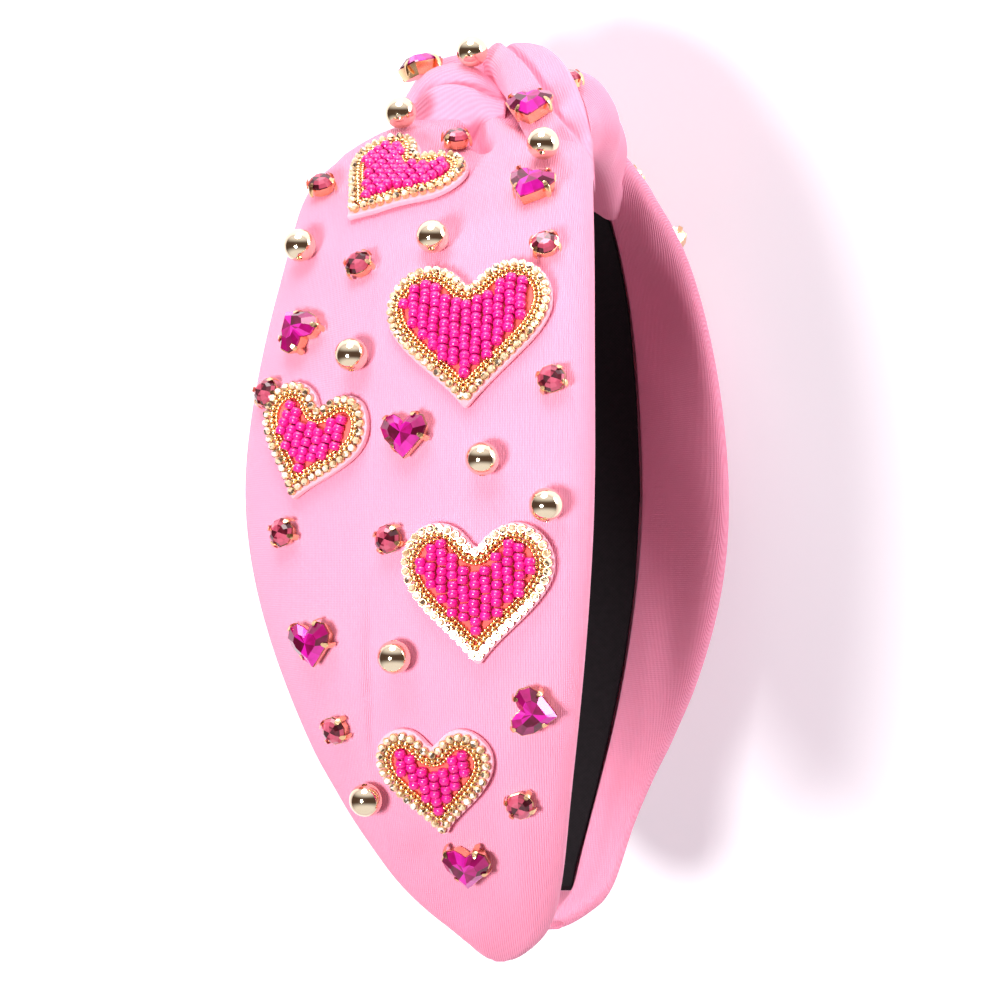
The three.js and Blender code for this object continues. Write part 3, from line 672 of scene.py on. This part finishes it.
# the gold rows' distance inside the felt's edge, their pitch, and their beads' size
gold_rows = ((2.1 * mm, 1.15 * mm, 1.0), (2.95 * mm, 0.74 * mm, 0.66))
seed_inset, column_pitch, bead_pitch = 3.4 * mm, 1.94 * mm, 1.56 * mm
for arm, side in (("near", 1), ("far", -1)):
    for name, row in patches.items():
        along, across, width, turn = patch_rows[arm][row]
        spot = Spot(side, along, across, turn, 6)
        width = width * mm
        bpy.ops.mesh.primitive_circle_add(vertices=heart_steps, radius=1, fill_type="NOTHING")
        felt = bpy.context.active_object
        felt.name = felt.data.name = f"felt_heart_{name}_{arm}"
        bpy.ops.object.mode_set(mode="EDIT")
        bpy.ops.mesh.select_all(action="SELECT")
        for shrink in (0.93, 0.9, 0.9, 0.85, 0.75, 0.5):
            bpy.ops.mesh.extrude_edges_move(TRANSFORM_OT_translate={"value": (0, 0, 0)})
            bpy.ops.transform.resize(value=(shrink, shrink, 1), center_override=(0, 0, 0))
        bpy.ops.mesh.merge(type="CENTER")
        bpy.ops.object.mode_set(mode="OBJECT")
        inset = felt.data.attributes.new("inset", "FLOAT", "POINT")
        for vertex in felt.data.vertices:
            size, t = vertex.co.xy.length, atan2(vertex.co.x, vertex.co.y)
            inset.data[vertex.index].value = (1 - size) * width / 2.5 / mm
            flat = heart(t) * size * width
            ripple = 0.12 * mm * sin(9 * t + row) * size ** 4
            vertex.co = spot.lay(flat.x, flat.y, 0.5 * mm + ripple)[0]
        applied(felt, "SOLIDIFY", thickness=felt_thick, offset=1)
        bpy.ops.object.mode_set(mode="EDIT")
        bpy.ops.mesh.select_all(action="SELECT")
        bpy.ops.mesh.normals_make_consistent(inside=False)
        bpy.ops.object.mode_set(mode="OBJECT")
        applied(felt, "BEVEL", width=0.25 * mm, segments=2, limit_method="ANGLE", angle_limit=radians(50))
        bpy.ops.object.shade_smooth_by_angle(angle=radians(50))
        felt.data.materials.append(pale_felt)

        top = 0.5 * mm + felt_thick
        chain = sewn(f"stone_chain_{name}_{arm}", cup, [
            spot.frame_at(p.x, p.y, top - 0.1 * mm, turned)
            for p, turned in spaced(outline_inset(width, chain_inset), chain_pitch)])
        rows = []
        for within, pitch, size in gold_rows:
            rows += [spot.frame_at(p.x, p.y, top + 0.55 * mm * size) @ Matrix.Scale(size, 4)
                     for p, _ in spaced(outline_inset(width, within), pitch)]
        gold = sewn(f"gold_rows_{name}_{arm}", gold_bead, rows)
        places = []
        edge = [heart(2 * pi * (k + 0.5) / 120) * width for k in range(120)]
        columns = int(width / 2 / column_pitch) + 1
        for i in range(-columns, columns + 1):
            for j in range(-22, 23):
                a = i * column_pitch + 0.12 * mm * sin(i * 2.7 + j * 1.3)
                b = (j + 0.5 * (i % 2)) * bead_pitch + 0.1 * mm * sin(i * 1.9 + j * 2.3)
                point = Vector((a, b))
                crossed = [
                    p.x + (b - p.y) / (q.y - p.y) * (q.x - p.x)
                    for p, q in zip(edge, edge[1:] + edge[:1]) if (p.y > b) != (q.y > b)]
                inside = sum(1 for x in crossed if a < x) % 2
                if inside and all((point - p).length > seed_inset for p in edge):
                    places.append(spot.frame_at(a, b, top + 0.75 * mm, 0.12 * sin(i * 3.1 + j)))
        seeds = sewn(f"seed_beads_{name}_{arm}", seed, places)
        stands_for = [f"felt_{name}_near", f"beads_{name}_near"] if arm == "near" else [f"patch_{name}_far"]
        for piece, slot in ((felt, "felt"), (chain, "beadwork"), (gold, "beadwork"), (seeds, "beadwork")):
            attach(piece, "root")
        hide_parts(stands_for[0])
        for piece in (chain, gold, seeds):
            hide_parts(stands_for[-1])

# Cut stones sit in gold claw cups: large hearts of magenta glass, and small round ones of rose glass.
# Each cup is stamped, its claws are bent over the stone's girdle, and it is sewn on through its foot.
cup_gold, shader, node, link, sum_of, mix = finish("peach_gold_settings")
body = node("TexCoord").outputs["Object"]
brushed = node("TexNoise", Scale=500.0, Detail=2.0)
link(body, brushed.inputs["Vector"])
link(mix(brushed.outputs["Fac"], (0.87, 0.5, 0.24, 1), (0.97, 0.68, 0.4, 1)), shader.inputs["Base Color"])
link(sum_of("ADD", sum_of("MULTIPLY", brushed.outputs["Fac"], 0.15), 0.12), shader.inputs["Roughness"])
shader.inputs["Metallic"].default_value = 1.0


def cut_glass(name, dark, body_colour, bright):
    """Foil-backed cut glass of its own colour in the middle, with each cut face painted lighter or darker, as
    painted glints and dark reflections, as the value laid on its faces says.
    """
    made, shader, node, link, sum_of, mix = finish(name)
    painted_facet_glint = node("Attribute", attribute_name="painted_facet_glint")
    clouds = node("TexNoise", Scale=650.0, Detail=1.0)
    link(node("TexCoord").outputs["Object"], clouds.inputs["Vector"])
    uneven = sum_of("MULTIPLY", sum_of("SUBTRACT", clouds.outputs["Fac"], 0.5), 0.5)
    level = sum_of("ADD", painted_facet_glint.outputs["Fac"], uneven)
    ramp = node("ValToRGB")
    ramp.color_ramp.elements[0].color = dark
    ramp.color_ramp.elements[1].color = bright
    ramp.color_ramp.elements.new(0.5).color = body_colour
    link(level, ramp.inputs[0])
    link(ramp.outputs[0], shader.inputs["Base Color"])
    shader.inputs["Metallic"].default_value = 0.25
    shader.inputs["Roughness"].default_value = 0.08
    shader.inputs["Coat Weight"].default_value = 0.6
    shader.inputs["Coat Roughness"].default_value = 0.02
    return made


magenta_glass = cut_glass(
    "magenta_cut_glass", (0.09, 0.002, 0.02, 1), (0.36, 0.002, 0.13, 1), (0.66, 0.01, 0.4, 1))
rose_glass = cut_glass("rose_cut_glass", (0.05, 0.004, 0.01, 1), (0.24, 0.016, 0.04, 1), (0.58, 0.1, 0.17, 1))


def with_painted_glints(piece):
    """Gives each cut face its own painted lightness, as painted glints and dark reflections, by its place and
    its number, which can change from run to run.
    """
    layer = piece.data.attributes.new("painted_facet_glint", "FLOAT", "FACE")
    for face in piece.data.polygons:
        c = face.center / mm
        turn = atan2(c.y, c.x)
        layer.data[face.index].value = 0.5 + 0.5 * sin(2 * turn + 1.3 * c.z + 0.9 * sin(face.index * 2.4))
    return piece


def gem(name, outline, rows, table, material):
    """A cut stone: its outline drawn up row by row as (size, height), with a table cut into a star."""
    bpy.ops.mesh.primitive_circle_add(vertices=len(outline), radius=1, fill_type="NGON")
    stone = unit_of(name, material)
    for vertex, point in zip(stone.data.vertices, outline):
        vertex.co = Vector((point[0] * rows[0][0], point[1] * rows[0][0], rows[0][1] * mm))
    bpy.ops.object.mode_set(mode="EDIT")
    bpy.ops.mesh.select_all(action="SELECT")
    bpy.ops.mesh.normals_make_consistent(inside=False)
    for (size, height), (wider, higher) in zip(rows, rows[1:]):
        bpy.ops.mesh.extrude_region_move(TRANSFORM_OT_translate={"value": (0, 0, (higher - height) * mm)})
        bpy.ops.transform.resize(value=(wider / size, wider / size, 1), center_override=(0, 0, higher * mm))
    bpy.ops.mesh.inset(thickness=table * mm, depth=0)
    bpy.ops.mesh.poke(offset=0)
    bpy.ops.mesh.select_all(action="SELECT")
    bpy.ops.mesh.normals_make_consistent(inside=False)
    bpy.ops.object.mode_set(mode="OBJECT")
    return with_painted_glints(stone)


def claw_cup(name, outline, height, claws, reach):
    """A cup of sheet gold round an outline, with bent claws at the shares given."""
    bpy.ops.mesh.primitive_circle_add(vertices=len(outline), radius=1, fill_type="NGON")
    setting = unit_of(name, cup_gold)
    for vertex, point in zip(setting.data.vertices, outline):
        vertex.co = Vector((point[0] * 0.84, point[1] * 0.84, 0))
    bpy.ops.object.mode_set(mode="EDIT")
    bpy.ops.mesh.select_all(action="SELECT")
    flare = ((0.86 / 0.84, 0.35), (0.97 / 0.86, height * 0.45), (1.03 / 0.97, height * 0.55 - 0.35))
    for size, rise in flare:
        bpy.ops.mesh.extrude_region_move(TRANSFORM_OT_translate={"value": (0, 0, rise * mm)})
        bpy.ops.transform.resize(value=(size, size, 1), center_override=(0, 0, 0))
    bpy.ops.mesh.inset(thickness=0.3 * mm, depth=0)
    bpy.ops.mesh.extrude_region_move(TRANSFORM_OT_translate={"value": (0, 0, -0.7 * mm)})
    bpy.ops.mesh.select_all(action="SELECT")
    bpy.ops.mesh.normals_make_consistent(inside=False)
    bpy.ops.object.mode_set(mode="OBJECT")
    parts = [setting]
    count = len(outline)
    for share in claws:
        k = int(share * count) % count
        rim, before, after = (Vector((*outline[(k + i) % count], 0)) for i in (0, -1, 1))
        way = (after - before).normalized()
        inward = Vector((-way.y, way.x, 0))
        if inward.dot(rim) > 0:
            inward.negate()
        bpy.ops.mesh.primitive_cube_add(size=1)
        claw = unit_of("claw", cup_gold)
        # how far in each bend of the claw lies, its height, half its width, and how far it leans
        bends = [
            (-0.38, 0.2, 0.62, 0), (-0.42, height * 0.5, 0.58, 0), (-0.34, height + 0.25, 0.52, 0.1),
            (0.1, height + 0.85, 0.48, 0.25), (reach, height + 1.1, 0.3, 0.3)]
        turned = Matrix((way, inward, (0, 0, 1))).transposed().to_4x4()
        bpy.ops.object.mode_set(mode="EDIT")
        edit = bmesh.from_edit_mesh(claw.data)
        bmesh.ops.delete(edit, geom=edit.verts[:], context="VERTS")
        rings = []
        for inset, rise, half, lean in bends:
            corners = [
                Vector((a * half, inset + b * 0.3 * (1 - lean), rise + b * lean)) * mm
                for a, b in ((-1, -0.5), (1, -0.5), (1, 0.5), (-1, 0.5))]
            rings.append([edit.verts.new(rim + turned.to_3x3() @ corner) for corner in corners])
        for low, high in zip(rings, rings[1:]):
            for j in range(4):
                edit.faces.new((low[j], low[(j + 1) % 4], high[(j + 1) % 4], high[j]))
        edit.faces.new(rings[0])
        edit.faces.new(rings[-1])
        bmesh.update_edit_mesh(claw.data)
        bpy.ops.mesh.select_all(action="SELECT")
        bpy.ops.mesh.normals_make_consistent(inside=False)
        bpy.ops.object.mode_set(mode="OBJECT")
        applied(claw, "SUBSURF", levels=1, render_levels=1)
        parts.append(claw)
    only(setting)
    for part in parts[1:]:
        part.select_set(True)
    bpy.ops.object.join()
    bpy.ops.object.shade_smooth_by_angle(angle=radians(35))
    return setting


def joined(name, *units):
    """Units joined as one, the first one's name given up for this."""
    only(units[0])
    for unit in units[1:]:
        unit.select_set(True)
    bpy.ops.object.join()
    piece = bpy.context.active_object
    piece.name = piece.data.name = name
    return piece


heart_count = 16
heart_outline = [heart(2 * pi * k / heart_count) * 8.7 * mm for k in range(heart_count)]
heart_rows = [(0.9, 1.2), (0.99, 2.4), (0.99, 2.7), (0.56, 3.95)]
heart_gem = gem("heart_gem", heart_outline, heart_rows, 0.12, magenta_glass)
heart_cup = claw_cup("heart_cup", heart_outline, 2.35, (0.13, 0.32, 0.68, 0.87), 0.7)
heart_unit = joined("heart_unit", heart_cup, heart_gem)
ring_count = 10
ring_turns = [2 * pi * k / ring_count for k in range(ring_count)]
ring_outline = [Vector((sin(turn), cos(turn))) * 2.5 * mm for turn in ring_turns]
ring_rows = [(0.88, 0.8), (0.97, 1.7), (0.97, 1.9), (0.78, 2.5), (0.52, 2.95)]
round_gem = gem("round_gem", ring_outline, ring_rows, 0.3, rose_glass)
round_cup = claw_cup("round_cup", ring_outline, 1.7, (0.125, 0.375, 0.625, 0.875), 0.5)
round_unit = joined("round_unit", round_cup, round_gem)

# Balls are hollow pressed brass, plated in pale gold and polished, with a hole through for the thread.
# They are sewn on singly, as the stones are, and all of these are set in place here.
pale_gold, shader, node, link, sum_of, mix = finish("polished_pale_gold")
body = node("TexCoord").outputs["Object"]
haze = node("TexNoise", Scale=260.0, Detail=2.0)
link(body, haze.inputs["Vector"])
link(mix(haze.outputs["Fac"], (0.84, 0.66, 0.44, 1), (0.93, 0.79, 0.6, 1)), shader.inputs["Base Color"])
link(sum_of("ADD", sum_of("MULTIPLY", haze.outputs["Fac"], 0.06), 0.05), shader.inputs["Roughness"])
shader.inputs["Metallic"].default_value = 1.0
bpy.ops.mesh.primitive_uv_sphere_add(segments=28, ring_count=18, radius=2.95 * mm, rotation=(pi / 2, 0, 0))
ball_unit = unit_of("ball_unit", pale_gold)
bpy.ops.object.transform_apply(location=False, rotation=True, scale=False)
bpy.ops.object.mode_set(mode="EDIT")
edit = bmesh.from_edit_mesh(ball_unit.data)
for face in edit.faces:
    face.select_set(abs(face.calc_center_median().y) > 2.88 * mm)
bmesh.update_edit_mesh(ball_unit.data)
bpy.ops.mesh.extrude_region_shrink_fatten(TRANSFORM_OT_shrink_fatten={"value": -0.5 * mm})
bpy.ops.object.mode_set(mode="OBJECT")
bpy.ops.object.shade_smooth_by_angle(angle=radians(50))
ball_unit.data.transform(Matrix.Translation((0, 0, 2.75 * mm)))

# each stone's place along and across its arm, in mm, and its turn in degrees, which is 0 where none is given
stone_rows = {
    ("near", "heart"): [
        (7.5, 17.6), (29.8, -5.8), (50.5, -7.7, 20), (71, 33, 150), (94, 12.1), (129, 29.2, -8),
        (139, -9.9, -80), (167, 3.3)],
    ("near", "round"): [
        (30, 8.3), (38.8, 32.1), (61.5, 22.4), (62.5, -11.2), (85.5, -13.2), (82.8, 38.8), (109.5, 35),
        (111, 15.2), (144, 25.8), (155, -6.6), (6.8, -10.1)],
    ("near", "ball"): [
        (11.5, 7.8), (23.6, 19.2), (40.8, -9.3), (54, 33.2), (59.5, 8.7), (79, 21.7), (98.5, -1.7),
        (106, -12.5), (130.5, 13.9), (155.5, 20.2)],
    ("far", "heart"): [(48, 23.5, 15), (112, 25, -10), (128, 20, 20)],
    ("far", "round"): [(78, 22.5), (58, 25), (101, -15)],
    ("far", "ball"): [(63, 20), (61, -3), (91, 21), (93, -3)]}
# each kind's unit, its slot, and how far its foot reaches from its middle, in mm
units = {
    "heart": (heart_unit, "heart_stone", 3.2),
    "round": (round_unit, "round_stone", 2.1),
    "ball": (ball_unit, "gold_ball", 0.8)}
knot_end = 46
for (arm, kind), rows in stone_rows.items():
    unit, slot, foot = units[kind]
    side = 1 if arm == "near" else -1
    for i, (along, across, *turns) in enumerate(rows):
        level = 0.6 if side > 0 and along < knot_end else 0
        spot = Spot(side, along, across, sum(turns), foot, level)
        stand = Matrix((spot.right, spot.up, spot.out)).transposed().to_4x4()
        stand.translation = spot.middle + spot.out * 0.3 * mm
        piece = bpy.data.objects.new(f"{kind}_sewn_{i + 1}_{arm}", unit.data.copy())
        piece.data.transform(stand)
        bpy.context.collection.objects.link(piece)
        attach(piece, "root")
        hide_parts(f"{kind}_{i + 1}_{arm}")
for unit in (seed, gold_bead, cup, heart_unit, round_unit, ball_unit):
    bpy.data.objects.remove(unit)

# It lies on a plain white table, in soft light from the left with a fill from above and a card on the right,
# as for a catalogue picture. The room is bright over and under a dark band, which shows in the balls.
bpy.ops.mesh.primitive_plane_add(size=6)
table = bpy.context.active_object
table.name = "table_top"
white_top, shader, node, link, sum_of, mix = finish("white_table")
grain = node("TexNoise", Scale=30.0, Detail=2.0)
link(node("TexCoord").outputs["Object"], grain.inputs["Vector"])
link(mix(grain.outputs["Fac"], (0.8, 0.8, 0.82, 1), (0.82, 0.82, 0.84, 1)), shader.inputs["Base Color"])
shader.inputs["Roughness"].default_value = 0.6
shader.inputs["Emission Color"].default_value = (0.84, 0.94, 1, 1)
shader.inputs["Emission Strength"].default_value = 0.45
table.data.materials.append(white_top)

camera_data = bpy.data.cameras.new("camera")
camera = bpy.data.objects.new("camera", camera_data)
bpy.context.collection.objects.link(camera)
azimuth, elevation, roll = radians(7), radians(-1.6), radians(-0.4)
towards = Vector((sin(azimuth) * cos(elevation), sin(elevation), cos(azimuth) * cos(elevation)))
right = (-towards).cross(Vector((0, 1, 0))).normalized()
above = right.cross(-towards)
right, above = right * cos(roll) + above * sin(roll), above * cos(roll) - right * sin(roll)
place = Matrix((right, above, towards)).transposed().to_4x4()
place.translation = Vector((-4.6, 78, 0)) * mm + towards * 800 * mm
camera.matrix_world = lying @ place
camera_data.lens, camera_data.sensor_width = 152, 36
bpy.context.scene.camera = camera

look = camera.matrix_world.to_3x3()
image_right, image_up, to_camera = (look @ Vector(axis) for axis in ((1, 0, 0), (0, 1, 0), (0, 0, 1)))
middle = lying @ (Vector((-4.6, 78, 0)) * mm)
# each lamp's degrees to the right and up from the camera's way, its distance and size in m, and its watts
lamps = (
    ("key_softbox", -27, -8, 0.8, 0.2, 7.6),
    ("fill_softbox", -20, 60, 1.1, 0.7, 8.5),
    ("bounce_card", 80, 24, 0.5, 0.35, 4.4))
for name, aside, rise, distance, size, power in lamps:
    data = bpy.data.lights.new(name, "AREA")
    data.shape, data.size, data.energy = "DISK", size, power
    lamp = bpy.data.objects.new(name, data)
    aside, rise = radians(aside), radians(rise)
    way = to_camera * cos(aside) * cos(rise) + image_right * sin(aside) * cos(rise) + image_up * sin(rise)
    lamp.location = middle + way * distance
    lamp.rotation_mode = "QUATERNION"
    lamp.rotation_quaternion = way.to_track_quat("Z", "Y")
    bpy.context.collection.objects.link(lamp)

world = bpy.data.worlds.new("studio")
world.use_nodes = True
nodes, link = world.node_tree.nodes, world.node_tree.links.new
direction = nodes.new("ShaderNodeTexCoord").outputs["Generated"]
height = nodes.new("ShaderNodeVectorMath")
height.operation = "DOT_PRODUCT"
height.inputs[1].default_value = image_up
link(direction, height.inputs[0])
level = nodes.new("ShaderNodeMath")
level.operation = "ABSOLUTE"
link(height.outputs["Value"], level.inputs[0])
dark = nodes.new("ShaderNodeMapRange")
dark.interpolation_type = "SMOOTHSTEP"
for socket, number in (("From Min", 0.2), ("From Max", 0.72), ("To Min", 1.0), ("To Max", 0.0)):
    dark.inputs[socket].default_value = number
link(level.outputs[0], dark.inputs["Value"])
room = nodes.new("ShaderNodeMix")
room.data_type = "RGBA"
room.inputs[6].default_value = (0.97, 0.97, 1, 1)
room.inputs[7].default_value = (0.1, 0.065, 0.05, 1)
link(dark.outputs["Result"], room.inputs[0])
# what lights the cloth is dim and pink, as after a bounce, and what shines in the metal is the room
soft = nodes.new("ShaderNodeMix")
soft.data_type = "RGBA"
link(nodes.new("ShaderNodeLightPath").outputs["Is Diffuse Ray"], soft.inputs[0])
link(room.outputs[2], soft.inputs[6])
soft.inputs[7].default_value = (0.35, 0.17, 0.21, 1)
link(soft.outputs[2], nodes["Background"].inputs["Color"])
nodes["Background"].inputs["Strength"].default_value = 1.0
bpy.context.scene.world = world
bpy.context.scene.view_settings.view_transform = "Standard"
